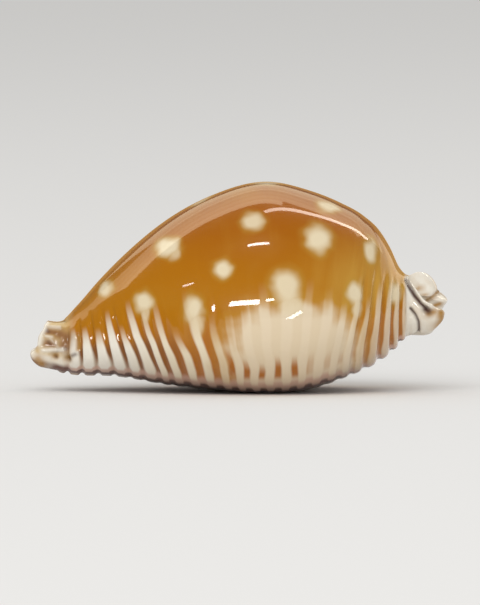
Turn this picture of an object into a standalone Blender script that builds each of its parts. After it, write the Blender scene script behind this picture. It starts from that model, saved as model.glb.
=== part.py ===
"""Spotted cowrie shell, built as the real one grew: a single hollow shell.

The shell is a loft of C-shaped sections. Each section runs from the columellar lip
round the outside to the outer lip, and back along the inside, so the toothed slit on
the base stays open from the front canal to the rear canal and the body is hollow.
Ribs start as teeth on both lips, fan out over the base and fade on the sides.

Frame: +Z up, front canal at -X, columellar side at -Y, resting on a small flat at Z = 0.
"""
import bmesh
import bpy
import numpy as np

# Driving dimensions of the adult shell, in metres
LENGTH = 0.060
HEIGHT = 0.0301
WIDTH = 0.036

# Grooves between the ribs at the margin, from the front canal to the rear neck, as in the photo
GROOVE_STATIONS = 0.001 * np.array((
    -26.70, -24.70, -22.73, -20.72, -18.72, -16.74, -15.06, -13.00, -11.38, -9.41, -6.98, -4.38, -1.98,
    0.19, 2.57, 5.30, 8.20, 10.64, 13.21, 15.24, 16.92, 18.60, 20.40, 21.95, 23.05, 24.10))
# Number of the first groove, between two ribs, where the first rib behind the front neck is number 0
FIRST_GROOVE = -1.5
# Widths over which the ribs rise before the front neck and sink before the rear neck
RIB_START_WIDTH = 0.0011
RIB_END_WIDTH = 0.0006
# Share of the pitch from a crest's middle to the edge of its groove
CREST_EDGE = 0.24

# Height of the ribs in the middle and towards the ends of the shell, and of the teeth on the lips
RIB_HEIGHT = 0.00028
END_RIB_HEIGHT = 0.00050
TOOTH_HEIGHT = 0.00070
# Stations, as shares of LENGTH either way from the middle, over which the ribs grow to their end height
END_RIBS = (0.20, 0.38)
# Places round the side where the ribs start to fade, in the middle and at the ends, and the fade's width
RIB_FADE = 0.44
END_RIB_FADE = 0.54
RIB_FADE_WIDTH = 0.16
# Places down the lip where a tooth has grown to its height, starts to sink and is a plain rib again
TOOTH_PLACES = (0.4, 0.5, 1.0)

# Slit on the base: its width in the middle and at the two canals, and its lips
SLIT_WIDTH = 0.0026
SLIT_WIDTH_AT_CANALS = 0.0028
LIP_RADIUS = 0.0015
LIP_RADIUS_FRONT = 0.0007
LIP_RADIUS_REAR = 0.0013

# The two canals stand out from the body at these stations, and their rims are rounded
FRONT_NECK_X = -0.0255
REAR_NECK_X = 0.0241
FRONT_RIM_RADIUS = 0.0006
REAR_RIM_RADIUS = 0.0015
# Share of the wall's half thickness that the round takes off at the very rim
RIM_CLOSING = 0.75
# A beak this long or longer, as a share of the longest, has a fully rounded rim
FULL_BEAK = 0.35

# Fan of the ribs: they spread away from this station as they climb from the slit over the margin
FAN_CENTRE_X = 0.0065
FAN = 0.80
FAN_CLIMB = ((0.00, -0.28), (0.15, -0.26), (0.30, -0.16), (0.42, 0.00), (0.55, 0.22), (0.70, 0.42),
             (0.84, 0.50), (1.00, 0.50))

# Mesh density: points from the lip to the dorsal line, down the lip, and inside, closer near the lip
OUTSIDE_STEPS = 16
LIP_STEPS = 4
INSIDE_STEPS = 8
STEP_GROWTH = 1.15
# Columns on the canals: in rim radii from the front rim, and in shares of the rear canal from its rim
FRONT_CANAL_COLUMNS = (0.0, 1.0, 3.0, 5.5)
REAR_CANAL_COLUMNS = (1.0, 0.75, 0.52, 0.33, 0.18, 0.06, 0.0)

# Profile lines as (station / LENGTH, height / HEIGHT), seen from the side
DORSAL_LINE = ((-0.500, 0.329), (-0.463, 0.336), (-0.425, 0.337), (-0.392, 0.402), (-0.335, 0.532),
               (-0.258, 0.684), (-0.182, 0.807), (-0.067, 0.934), (0.068, 1.000), (0.165, 0.960),
               (0.242, 0.900), (0.298, 0.837), (0.337, 0.764), (0.365, 0.672), (0.384, 0.590),
               (0.400, 0.556), (0.430, 0.570), (0.477, 0.545), (0.500, 0.505))
BASE_LINE = ((-0.500, 0.118), (-0.412, 0.086), (-0.297, 0.075), (-0.182, 0.036), (-0.067, 0.007),
             (0.050, -0.015), (0.165, 0.007), (0.242, 0.060), (0.298, 0.106), (0.357, 0.176),
             (0.400, 0.245), (0.450, 0.257), (0.500, 0.290))
WIDEST_LINE = ((-0.500, 0.220), (-0.417, 0.216), (-0.333, 0.252), (-0.167, 0.318), (0.050, 0.360),
               (0.200, 0.366), (0.300, 0.385), (0.367, 0.400), (0.500, 0.400))
INNER_ROOF_LINE = ((-0.500, 0.262), (-0.433, 0.272), (-0.333, 0.465), (-0.250, 0.635), (-0.133, 0.812),
                   (0.000, 0.920), (0.068, 0.942), (0.167, 0.898), (0.250, 0.815), (0.300, 0.715),
                   (0.333, 0.605), (0.360, 0.520), (0.407, 0.470), (0.500, 0.450))
INNER_FLOOR_LINE = ((-0.500, 0.180), (-0.417, 0.168), (-0.250, 0.195), (0.000, 0.160), (0.167, 0.178),
                    (0.300, 0.255), (0.358, 0.305), (0.407, 0.328), (0.500, 0.335))

# Plan lines as (station / LENGTH, half width / half WIDTH), seen from above
OUTER_PLAN = ((-0.500, 0.190), (-0.463, 0.206), (-0.425, 0.225), (-0.383, 0.315), (-0.333, 0.452),
              (-0.250, 0.668), (-0.133, 0.874), (0.000, 0.980), (0.067, 1.000), (0.150, 0.983),
              (0.233, 0.894), (0.300, 0.744), (0.350, 0.556), (0.380, 0.400), (0.405, 0.292),
              (0.442, 0.298), (0.475, 0.280), (0.500, 0.240))
INNER_PLAN = ((-0.500, 0.116), (-0.417, 0.128), (-0.333, 0.300), (-0.250, 0.515), (-0.133, 0.706),
              (0.000, 0.810), (0.067, 0.830), (0.167, 0.795), (0.250, 0.665), (0.300, 0.515),
              (0.333, 0.355), (0.358, 0.215), (0.407, 0.122), (0.500, 0.110))
# Middle of the slit as (station / LENGTH, sideways place / half WIDTH), positive to the outer lip
SLIT_PLAN = ((-0.500, 0.000), (-0.400, 0.020), (-0.250, 0.060), (0.000, 0.070), (0.200, 0.060),
             (0.333, 0.010), (0.420, -0.040), (0.500, -0.040))

# Rims of the canals as (place round the side, station / LENGTH): 0 at the lip, 1 at the dorsal line
FRONT_RIM_NEAR = ((0.00, -0.484), (0.06, -0.493), (0.20, -0.500), (0.30, -0.492), (0.40, -0.483),
                  (0.55, -0.479), (0.67, -0.472), (0.84, -0.465), (1.00, -0.462))
FRONT_RIM_FAR = ((0.00, -0.477), (0.06, -0.485), (0.20, -0.490), (0.30, -0.484), (0.40, -0.477),
                 (0.55, -0.472), (0.67, -0.467), (0.84, -0.463), (1.00, -0.462))
REAR_RIM_NEAR = ((0.00, 0.475), (0.09, 0.486), (0.19, 0.490), (0.28, 0.490), (0.34, 0.483), (0.38, 0.467),
                 (0.42, 0.451), (0.50, 0.434), (0.62, 0.419), (0.79, 0.408), (1.00, 0.406))
REAR_RIM_FAR = ((0.00, 0.472), (0.15, 0.479), (0.30, 0.485), (0.39, 0.490), (0.46, 0.497), (0.52, 0.500),
                (0.58, 0.497), (0.63, 0.486), (0.68, 0.478), (0.74, 0.476), (0.80, 0.473), (0.86, 0.465),
                (0.91, 0.450), (0.95, 0.431), (1.00, 0.406))

# Corner sharpness of the sections: 2 is an ellipse, more is squarer
UPPER_SHARPNESS = ((-0.500, 2.9), (-0.400, 2.3), (-0.200, 2.05), (0.250, 2.05), (0.400, 2.2), (0.500, 2.4))
LOWER_SHARPNESS = ((-0.500, 2.7), (-0.300, 2.3), (0.000, 2.5), (0.150, 2.4), (0.300, 2.2), (0.500, 2.3))
INNER_SHARPNESS = 2.2
# Stations, as shares of LENGTH either way from the middle, over which the inside moves over to the slit
INSIDE_SHIFT = (0.30, 0.42)

# Spire pit on the columellar beak: station, height, radius and depth
SPIRE_PIT = (0.0264, 0.0113, 0.0010, 0.0009)

# Sides of the slit: the columellar side at -Y and the outer-lip side at +Y
NEAR = 1.0
FAR = -1.0

SHARP_ANGLE = 0.7
SHELL_COLOUR = (0.42, 0.19, 0.03, 1.0)
SHELL_ROUGHNESS = 0.2
COLLECTION_NAME = "spotted_cowrie"
NODE_NAME = "shell"


def clear_scene():
    """Remove every object that the scene starts with."""
    for item in list(bpy.data.objects):
        bpy.data.objects.remove(item, do_unlink=True)


def smooth_curve(points, across, up):
    """Return a function that follows hand-placed points as one smooth line."""
    places = np.array([point[0] for point in points]) * across
    values = np.array([point[1] for point in points]) * up
    slopes = np.gradient(values, places)

    def value(place):
        place = np.clip(place, places[0], places[-1])
        index = np.clip(np.searchsorted(places, place) - 1, 0, len(places) - 2)
        step = places[index + 1] - places[index]
        t = (place - places[index]) / step
        start = values[index] * (1 + 2 * t) * (1 - t) ** 2 + slopes[index] * step * t * (1 - t) ** 2
        end = values[index + 1] * t * t * (3 - 2 * t) + slopes[index + 1] * step * t * t * (t - 1)
        return start + end

    return value


HALF_WIDTH = WIDTH / 2
dorsal = smooth_curve(DORSAL_LINE, LENGTH, HEIGHT)
base = smooth_curve(BASE_LINE, LENGTH, HEIGHT)
widest = smooth_curve(WIDEST_LINE, LENGTH, HEIGHT)
outer_plan = smooth_curve(OUTER_PLAN, LENGTH, HALF_WIDTH)
inner_roof = smooth_curve(INNER_ROOF_LINE, LENGTH, HEIGHT)
inner_floor = smooth_curve(INNER_FLOOR_LINE, LENGTH, HEIGHT)
inner_plan = smooth_curve(INNER_PLAN, LENGTH, HALF_WIDTH)
slit_middle = smooth_curve(SLIT_PLAN, LENGTH, HALF_WIDTH)
fan_climb = smooth_curve(FAN_CLIMB, 1, 1)
upper_sharpness = smooth_curve(UPPER_SHARPNESS, LENGTH, 1)
lower_sharpness = smooth_curve(LOWER_SHARPNESS, LENGTH, 1)
slit_width = smooth_curve(((-0.5, SLIT_WIDTH_AT_CANALS), (-0.3, SLIT_WIDTH), (0.3, SLIT_WIDTH),
                           (0.5, SLIT_WIDTH_AT_CANALS)), LENGTH, 1)
lip_radius = smooth_curve(((-0.5, LIP_RADIUS_FRONT), (-0.4, LIP_RADIUS_FRONT), (-0.25, LIP_RADIUS),
                           (0.3, LIP_RADIUS), (0.5, LIP_RADIUS_REAR)), LENGTH, 1)
rims = {
    NEAR: (smooth_curve(FRONT_RIM_NEAR, 1, LENGTH), smooth_curve(REAR_RIM_NEAR, 1, LENGTH)),
    FAR: (smooth_curve(FRONT_RIM_FAR, 1, LENGTH), smooth_curve(REAR_RIM_FAR, 1, LENGTH)),
}


def smoothstep(low, high, value):
    """Rise from 0 to 1 between low and high."""
    t = np.clip((value - low) / (high - low), 0, 1)
    return t * t * (3 - 2 * t)


def signed_power(value, power):
    """Power that keeps the sign."""
    return np.sign(value) * np.abs(value) ** power


def rib_number(margin_x):
    """Number of the rib at a margin station: whole on a crest, and a half between two."""
    return FIRST_GROOVE + np.interp(margin_x, GROOVE_STATIONS, np.arange(len(GROOVE_STATIONS)))


def column_station(margin_x, side, around):
    """Station of a growth column at a place round the side.

    Between the necks the columns fan out as they climb, as the ribs do. Beyond a neck
    they crowd or spread so that the last one lies on the rim of that canal.
    """
    end = LENGTH / 2
    away = margin_x - FAN_CENTRE_X
    reach = np.where(away < 0, FRONT_NECK_X, REAR_NECK_X) - FAN_CENTRE_X
    fan = FAN * away * (1 - np.minimum(away / reach, 1) ** 2) ** 2
    front_rim, rear_rim = rims[side]
    front_scale = (front_rim(around) - FRONT_NECK_X) / (-end - FRONT_NECK_X)
    rear_scale = (rear_rim(around) - REAR_NECK_X) / (end - REAR_NECK_X)
    station = margin_x + fan * fan_climb(around)
    in_front = FRONT_NECK_X + (margin_x - FRONT_NECK_X) * front_scale
    behind = REAR_NECK_X + (margin_x - REAR_NECK_X) * rear_scale
    station = np.where(margin_x < FRONT_NECK_X, in_front, station)
    return np.where(margin_x > REAR_NECK_X, behind, station)


def outer_section(x, side, angle):
    """Point of the outer skin: angle 0 at the middle of the base, pi at the dorsal line."""
    low = 2 / lower_sharpness(x)
    high = 2 / upper_sharpness(x)
    power = np.where(np.cos(angle) > 0, low, high)
    rise = np.where(np.cos(angle) > 0, widest(x) - base(x), dorsal(x) - widest(x))
    y = -side * outer_plan(x) * signed_power(np.sin(angle), power)
    z = widest(x) - rise * signed_power(np.cos(angle), power)
    return y, z


def start_angle(reach, half_width, sharpness):
    """Angle at which a section passes a given sideways reach near its base."""
    return np.arcsin(np.clip(signed_power(reach / half_width, sharpness / 2), -1, 1))


def slit_edge(x, side):
    """Sideways reach of one wall of the slit from the middle plane, positive outwards."""
    return slit_width(x) / 2 - side * slit_middle(x)


def outside_point(x, side, around):
    """Outer skin from the edge of the lip (0) to the dorsal line (1)."""
    start = start_angle(slit_edge(x, side) + lip_radius(x), outer_plan(x), lower_sharpness(x))
    return outer_section(x, side, start + (np.pi - start) * around)


def lip_point(x, side, down):
    """Lip of the slit, from the top of its wall inside (0), over the round, to the base (1)."""
    edge_y, edge_z = outside_point(x, side, 0.0)
    radius = lip_radius(x)
    turn = np.clip(2 * down - 1, 0, 1) * np.pi / 2
    wall_top = inside_point(x, side, 0.0)[1]
    wall_z = wall_top + (edge_z + radius - wall_top) * np.clip(2 * down, 0, 1)
    y = edge_y + side * radius * np.cos(turn)
    z = np.where(down < 0.5, wall_z, edge_z + radius * (1 - np.sin(turn)))
    return y, z


def inside_point(x, side, around):
    """Inner skin from the top of the lip's wall (0) to the inside of the dorsal line (1)."""
    power = 2 / INNER_SHARPNESS
    centre = slit_middle(x) * smoothstep(INSIDE_SHIFT[0], INSIDE_SHIFT[1], np.abs(x) / LENGTH)
    reach = slit_edge(x, side) + side * centre
    start = start_angle(reach, inner_plan(x), INNER_SHARPNESS)
    angle = start + (np.pi - start) * around
    middle = (inner_roof(x) + inner_floor(x)) / 2
    rise = (inner_roof(x) - inner_floor(x)) / 2
    y = centre - side * inner_plan(x) * signed_power(np.sin(angle), power)
    z = middle - rise * signed_power(np.cos(angle), power)
    return y, z


def ring_places():
    """List the places round one section as (zone, side, place), in order and without repeats."""
    lip_down = [("lip", step / LIP_STEPS) for step in range(LIP_STEPS)]
    outside_up = [("outside", (step / OUTSIDE_STEPS) ** STEP_GROWTH) for step in range(OUTSIDE_STEPS)]
    inside_up = [("inside", (step / INSIDE_STEPS) ** STEP_GROWTH) for step in range(1, INSIDE_STEPS)]
    ring = [(zone, NEAR, place) for zone, place in lip_down + outside_up]
    ring += [("outside", NEAR, 1.0)]
    ring += [(zone, FAR, place) for zone, place in reversed(lip_down + outside_up)]
    ring += [(zone, FAR, place) for zone, place in inside_up]
    ring += [("inside", NEAR, 1.0)]
    ring += [(zone, NEAR, place) for zone, place in reversed(inside_up)]
    return ring


def column_places():
    """List the columns' margin stations: the front canal, each rib's groove and crest, the rear canal."""
    end = LENGTH / 2
    front = -end + FRONT_RIM_RADIUS * np.array(FRONT_CANAL_COLUMNS)
    grooves = GROOVE_STATIONS[GROOVE_STATIONS > FRONT_NECK_X]
    shares = np.array([0.0, 0.5 - CREST_EDGE, 0.5 + CREST_EDGE])
    ribs = grooves[:-1, None] + np.diff(grooves)[:, None] * shares
    rear = end - (end - REAR_NECK_X) * np.array(REAR_CANAL_COLUMNS)
    return np.concatenate([front, ribs.ravel(), rear])


def rib_crest(margin_x):
    """Rib profile at a margin station: broad crests at a half, narrow grooves at minus a half."""
    groove = (0.5 - 0.5 * np.cos(2 * np.pi * rib_number(margin_x))) ** 2
    shown = smoothstep(FRONT_NECK_X - RIB_START_WIDTH, FRONT_NECK_X, margin_x)
    shown *= 1 - smoothstep(REAR_NECK_X - RIB_END_WIDTH, REAR_NECK_X, margin_x)
    return (0.5 - groove) * shown


def rib_height(zone, x, around):
    """Height of the ribs over a place: teeth on the lips, low on the base, fading above the margin."""
    if zone == "inside":
        return np.zeros_like(x)
    ends = smoothstep(END_RIBS[0], END_RIBS[1], np.abs(x) / LENGTH)
    height = RIB_HEIGHT + (END_RIB_HEIGHT - RIB_HEIGHT) * ends
    if zone == "lip":
        grown, sinking, sunk = TOOTH_PLACES
        rise = smoothstep(0.0, grown, around)
        tooth = rise * (1 - smoothstep(sinking, sunk, around))
        return height * rise + (TOOTH_HEIGHT - height) * tooth
    fade_start = RIB_FADE + (END_RIB_FADE - RIB_FADE) * ends
    return height * (1 - smoothstep(fade_start, fade_start + RIB_FADE_WIDTH, around))


def rim_closing(margin_x, side, around):
    """Share by which both skins close in on the middle of the wall towards the rims."""
    end = LENGTH / 2
    reach = (rims[side][1](around) - REAR_NECK_X) / (end - REAR_NECK_X)
    from_front = np.clip(1 - (margin_x + end) / FRONT_RIM_RADIUS, 0, 1)
    from_rear = np.clip(1 - (end - margin_x) / REAR_RIM_RADIUS, 0, 1)
    front = 1 - np.sqrt(1 - from_front ** 2)
    rear = (1 - np.sqrt(1 - from_rear ** 2)) * smoothstep(0.0, FULL_BEAK, reach)
    return RIM_CLOSING * (front + rear)


def pit_depth(points):
    """Depth of the spire pit at each point of the columellar beak."""
    pit_x, pit_z, radius, depth = SPIRE_PIT
    away = np.linalg.norm(points[..., [0, 2]] - np.array([pit_x, pit_z]), axis=-1)
    return depth * np.exp(-(away / radius) ** 2)


def wall_middle(x, side, around):
    """Middle of the wall between the outer and the inner skin."""
    outer_y, outer_z = outside_point(x, side, around)
    inner_y, inner_z = inside_point(x, side, around)
    return (outer_y + inner_y) / 2, (outer_z + inner_z) / 2


def shell_grid():
    """Return the points of the shell, by column and by place round the section."""
    ring = ring_places()
    margin_x = column_places()
    points = np.zeros((len(margin_x), len(ring), 3))
    makers = {"outside": outside_point, "lip": lip_point, "inside": inside_point}
    for index, (zone, side, place) in enumerate(ring):
        around = 0.0 if zone == "lip" else place
        x = column_station(margin_x, side, around)
        y, z = makers[zone](x, side, place)
        closing = rim_closing(margin_x, side, around)
        middle_y, middle_z = wall_middle(x, side, around)
        y = y + (middle_y - y) * closing
        z = z + (middle_z - z) * closing
        points[:, index] = np.stack([x, y, z], axis=1)
    along = np.gradient(points, axis=0)
    across = np.roll(points, -1, axis=1) - np.roll(points, 1, axis=1)
    normals = np.cross(along, across)
    normals /= np.linalg.norm(normals, axis=2, keepdims=True)
    crest = rib_crest(margin_x)
    pit = pit_depth(points)
    for index, (zone, side, place) in enumerate(ring):
        lift = rib_height(zone, points[:, index, 0], place) * crest
        if zone == "outside" and side == NEAR:
            lift = lift - pit[:, index]
        points[:, index] += normals[:, index] * lift[:, None]
    points[..., 2] = np.maximum(points[..., 2], 0.0)
    return points, ring


def build_shell(collection, material):
    """Make the shell's mesh as one closed body and place it in the collection."""
    points, ring = shell_grid()
    mesh = bpy.data.meshes.new(NODE_NAME)
    shell = bpy.data.objects.new(NODE_NAME, mesh)
    collection.objects.link(shell)
    bm = bmesh.new()
    grid = [[bm.verts.new(point) for point in column] for column in points]
    count = len(ring)
    for left, right in zip(grid, grid[1:]):
        for here in range(count):
            after = (here + 1) % count
            bm.faces.new((left[here], left[after], right[after], right[here]))
    for column, turned in ((grid[0], True), (grid[-1], False)):
        close_rim(bm, column, ring, turned)
    bmesh.ops.recalc_face_normals(bm, faces=bm.faces)
    bmesh.ops.triangulate(bm, faces=bm.faces)
    bm.to_mesh(mesh)
    bm.free()
    mesh.shade_smooth()
    mesh.set_sharp_from_angle(angle=SHARP_ANGLE)
    mesh.materials.append(material)


def rim_share(zone, side, place):
    """Way round a rim, from the near lip (0) over the dorsal line (1) to the far lip (2)."""
    around = 0.0 if zone == "lip" else place
    return around if side == NEAR else 2.0 - around


def close_rim(bm, column, ring, turned):
    """Fill a rim with a strip of triangles between its outer and its inner edge."""
    outer = [index for index, (zone, side, place) in enumerate(ring) if zone != "inside"]
    inner = [outer[0]] + list(range(len(ring) - 1, outer[-1], -1)) + [outer[-1]]
    shares = [rim_share(*place) for place in ring]
    here = 0
    there = 0
    while here < len(outer) - 1 or there < len(inner) - 1:
        start = column[outer[here]]
        across = column[inner[there]]
        outer_ends = here == len(outer) - 1
        inner_ends = there == len(inner) - 1
        if inner_ends or not outer_ends and there > 0 and shares[outer[here + 1]] <= shares[inner[there + 1]]:
            here += 1
            corners = (start, column[outer[here]], across)
        else:
            there += 1
            corners = (start, column[inner[there]], across)
        if len(set(corners)) == len(corners):
            bm.faces.new(corners if turned else corners[::-1])


def shell_material():
    """Glossy orange-brown shell."""
    material = bpy.data.materials.new("glossy_shell")
    material.use_nodes = True
    shader = material.node_tree.nodes["Principled BSDF"]
    shader.inputs["Base Color"].default_value = SHELL_COLOUR
    shader.inputs["Roughness"].default_value = SHELL_ROUGHNESS
    shader.inputs["Metallic"].default_value = 0.0
    return material


def main():
    """Build the spotted cowrie."""
    clear_scene()
    collection = bpy.data.collections.new(COLLECTION_NAME)
    bpy.context.scene.collection.children.link(collection)
    build_shell(collection, shell_material())


main()
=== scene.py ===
"""Spotted cowrie shell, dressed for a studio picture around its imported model.

The shell is one glossy piece. Its smooth skin is a loft of C-shaped sections, worked out here
with the same named values as the solid. A Geometry Nodes tree then raises what repeats on it, the
ribs and the teeth of the slit, and presses in the small grooves of the two canals. The colours
are procedural: pale spots with soft edges, pale ribs, a cream cloud low on the side, and the
ochre and umber stains of the canals.

Frame: +Z up, front canal at -X, columellar side at -Y, resting on a small flat at Z = 0.
"""
import logging
import math
from dataclasses import dataclass
from enum import Enum
from typing import Any, Callable, Optional, Union

import bpy
import numpy as np
from mathutils import Matrix, Vector


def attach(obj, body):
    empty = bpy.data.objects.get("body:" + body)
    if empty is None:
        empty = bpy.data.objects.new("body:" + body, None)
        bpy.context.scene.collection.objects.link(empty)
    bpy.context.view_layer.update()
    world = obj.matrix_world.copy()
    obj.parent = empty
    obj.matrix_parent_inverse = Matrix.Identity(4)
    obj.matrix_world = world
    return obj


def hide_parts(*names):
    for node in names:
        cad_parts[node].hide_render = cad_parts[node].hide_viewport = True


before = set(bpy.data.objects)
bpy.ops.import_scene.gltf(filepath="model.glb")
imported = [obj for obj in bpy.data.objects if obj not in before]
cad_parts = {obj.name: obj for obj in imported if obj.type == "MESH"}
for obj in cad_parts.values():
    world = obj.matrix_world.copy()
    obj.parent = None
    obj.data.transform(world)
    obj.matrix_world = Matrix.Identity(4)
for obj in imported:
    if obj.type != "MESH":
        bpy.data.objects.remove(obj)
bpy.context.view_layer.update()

LOG = logging.getLogger("spotted_cowrie")
MM = 0.001

Array = np.ndarray
Pair = tuple[float, float]
Places = tuple[Pair, ...]
Colour = tuple[float, float, float]
Triple = tuple[float, float, float]
Noise = tuple[float, float, float, float]
Key = Union[int, str]
Feed = Union["Signal", float, str, tuple]


class Side(Enum):
    """The two sides of the slit, with the sign that each has in the formulas."""

    COLUMELLA = 1.0
    OUTER_LIP = -1.0


class Zone(Enum):
    """The stretches of a section between the dorsal line and the inside."""

    OUTSIDE = "outside"
    LIP = "lip"
    INSIDE = "inside"


class Mark(Enum):
    """What a carving or a stain is painted with: the name of its attribute and of its colour."""

    UMBER = "umber"
    OCHRE = "ochre"
    WHITE = "white"
    TAN = "tan"
    BARE = "bare"


PAINTED = (Mark.TAN, Mark.OCHRE, Mark.UMBER, Mark.WHITE)
Ring = list[tuple[Zone, Side, float]]


@dataclass(frozen=True)
class Line:
    """A smooth line through a few given points.

    Attributes:
        points: Pairs of place and value, as shares of across and up.
        across: What one unit of place stands for.
        up: What one unit of value stands for.
    """

    points: Places
    across: float = 1.0
    up: float = 1.0

    def at(self, place: Array) -> Array:
        """Read the line.

        Args:
            place: Where to read it, clipped to its ends.

        Returns:
            The value at each place.
        """
        places = np.array([point[0] for point in self.points]) * self.across
        values = np.array([point[1] for point in self.points]) * self.up
        slopes = np.gradient(values, places)
        place = np.clip(place, places[0], places[-1])
        index = np.clip(np.searchsorted(places, place) - 1, 0, len(places) - 2)
        step = places[index + 1] - places[index]
        t = (place - places[index]) / step
        start = values[index] * (1 + 2 * t) * (1 - t) ** 2 + slopes[index] * step * t * (1 - t) ** 2
        end = values[index + 1] * t * t * (3 - 2 * t) + slopes[index + 1] * step * t * t * (t - 1)
        return start + end


def smoothstep(low: float, high: float, value: Array) -> Array:
    """Rise from 0 to 1 between low and high.

    Args:
        low: Where the rise starts.
        high: Where it ends.
        value: What is measured against them.

    Returns:
        The share, with a soft start and end.
    """
    t = np.clip((value - low) / (high - low), 0, 1)
    return t * t * (3 - 2 * t)


def signed_power(value: Array, power: Union[float, Array]) -> Array:
    """Raise the size of a value to a power and keep its sign."""
    return np.sign(value) * np.abs(value) ** power


@dataclass(frozen=True)
class ShellForm:
    """The smooth form of the shell: its profile lines and its sections, in metres.

    Heights and widths of the lines are shares of the height and of half the width, and their
    stations are shares of the length. The rims go round the side, near side first.
    """

    length: float = 0.06
    height: float = 0.0301
    width: float = 0.036
    first_groove: float = -1.5
    rib_start_width: float = 0.0011
    rib_end_width: float = 0.0006
    grooves_mm: tuple[float, ...] = (
        -26.7, -24.7, -22.73, -20.72, -18.72, -16.74, -15.06, -13.0, -11.38, -9.41, -6.98, -4.38, -1.98,
        0.19, 2.57, 5.3, 8.2, 10.64, 13.21, 15.24, 16.92, 18.6, 20.4, 21.95, 23.05, 24.1)
    front_neck: float = -0.0255
    rear_neck: float = 0.0241
    front_rim_radius: float = 0.0006
    rear_rim_radius: float = 0.0015
    rim_closing: float = 0.93
    full_beak: float = 0.35
    fan_centre: float = 0.0065
    fan: float = 0.8
    inner_sharpness: float = 2.2
    inside_shift: Pair = (0.3, 0.42)
    fan_climb: Line = Line((
        (0.0, -0.28), (0.15, -0.26), (0.3, -0.16), (0.42, 0.0), (0.55, 0.22), (0.7, 0.42), (0.84, 0.5),
        (1.0, 0.5)))
    dorsal_line: Places = (
        (-0.5, 0.329), (-0.463, 0.336), (-0.425, 0.337), (-0.392, 0.402), (-0.335, 0.532), (-0.258, 0.684),
        (-0.182, 0.807), (-0.067, 0.934), (0.068, 1.0), (0.165, 0.96), (0.242, 0.9), (0.298, 0.837),
        (0.337, 0.764), (0.365, 0.672), (0.384, 0.59), (0.4, 0.556), (0.43, 0.57), (0.477, 0.545),
        (0.5, 0.505))
    base_line: Places = (
        (-0.5, 0.118), (-0.412, 0.086), (-0.297, 0.075), (-0.182, 0.036), (-0.067, 0.007), (0.05, -0.015),
        (0.165, 0.007), (0.242, 0.06), (0.298, 0.106), (0.357, 0.176), (0.4, 0.245), (0.45, 0.257),
        (0.5, 0.29))
    widest_line: Places = (
        (-0.5, 0.22), (-0.417, 0.216), (-0.333, 0.252), (-0.167, 0.318), (0.05, 0.36), (0.2, 0.366),
        (0.3, 0.385), (0.367, 0.4), (0.5, 0.4))
    inner_roof_line: Places = (
        (-0.5, 0.262), (-0.433, 0.272), (-0.333, 0.465), (-0.25, 0.635), (-0.133, 0.812), (0.0, 0.92),
        (0.068, 0.942), (0.167, 0.898), (0.25, 0.815), (0.3, 0.715), (0.333, 0.605), (0.36, 0.52),
        (0.407, 0.47), (0.5, 0.45))
    inner_floor_line: Places = (
        (-0.5, 0.18), (-0.417, 0.168), (-0.25, 0.195), (0.0, 0.16), (0.167, 0.178), (0.3, 0.255),
        (0.358, 0.305), (0.407, 0.328), (0.5, 0.335))
    outer_plan: Places = (
        (-0.5, 0.19), (-0.463, 0.206), (-0.425, 0.225), (-0.383, 0.315), (-0.333, 0.452), (-0.25, 0.668),
        (-0.133, 0.874), (0.0, 0.98), (0.067, 1.0), (0.15, 0.983), (0.233, 0.894), (0.3, 0.744),
        (0.35, 0.556), (0.38, 0.4), (0.405, 0.292), (0.442, 0.298), (0.475, 0.28), (0.5, 0.24))
    inner_plan: Places = (
        (-0.5, 0.116), (-0.417, 0.128), (-0.333, 0.3), (-0.25, 0.515), (-0.133, 0.706), (0.0, 0.81),
        (0.067, 0.83), (0.167, 0.795), (0.25, 0.665), (0.3, 0.515), (0.333, 0.355), (0.358, 0.215),
        (0.407, 0.122), (0.5, 0.11))
    slit_plan: Places = (
        (-0.5, 0.0), (-0.4, 0.02), (-0.25, 0.06), (0.0, 0.07), (0.2, 0.06), (0.333, 0.01), (0.42, -0.04),
        (0.5, -0.04))
    slit_width: Places = ((-0.5, 0.0028), (-0.3, 0.0026), (0.3, 0.0026), (0.5, 0.0028))
    lip_radius: Places = ((-0.5, 0.0007), (-0.4, 0.0007), (-0.25, 0.0015), (0.3, 0.0015), (0.5, 0.0013))
    upper_sharpness: Places = (
        (-0.5, 2.9), (-0.4, 2.3), (-0.2, 2.05), (0.25, 2.05), (0.4, 2.2), (0.5, 2.4))
    lower_sharpness: Places = (
        (-0.5, 2.7), (-0.3, 2.3), (0.0, 2.5), (0.15, 2.4), (0.3, 2.2), (0.5, 2.3))
    front_rims: tuple[Places, Places] = (
        ((0.0, -0.484), (0.06, -0.493), (0.2, -0.5), (0.3, -0.492), (0.4, -0.483), (0.55, -0.479),
         (0.67, -0.472), (0.84, -0.465), (1.0, -0.462)),
        ((0.0, -0.477), (0.06, -0.485), (0.2, -0.49), (0.3, -0.484), (0.4, -0.477), (0.55, -0.472),
         (0.67, -0.467), (0.84, -0.463), (1.0, -0.462)))
    rear_rims: tuple[Places, Places] = (
        ((0.0, 0.475), (0.09, 0.486), (0.19, 0.49), (0.28, 0.49), (0.34, 0.483), (0.38, 0.467),
         (0.42, 0.451), (0.5, 0.434), (0.62, 0.419), (0.79, 0.408), (1.0, 0.406)),
        ((0.0, 0.472), (0.15, 0.479), (0.3, 0.485), (0.39, 0.49), (0.46, 0.497), (0.52, 0.5), (0.58, 0.497),
         (0.63, 0.486), (0.68, 0.478), (0.74, 0.476), (0.8, 0.473), (0.86, 0.465), (0.91, 0.45),
         (0.95, 0.431), (1.0, 0.406)))

    def tall(self, line: Places, x: Array) -> Array:
        """Read a height line at a station."""
        return Line(line, self.length, self.height).at(x)

    def wide(self, line: Places, x: Array) -> Array:
        """Read a line of half widths at a station."""
        return Line(line, self.length, self.width / 2).at(x)

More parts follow.
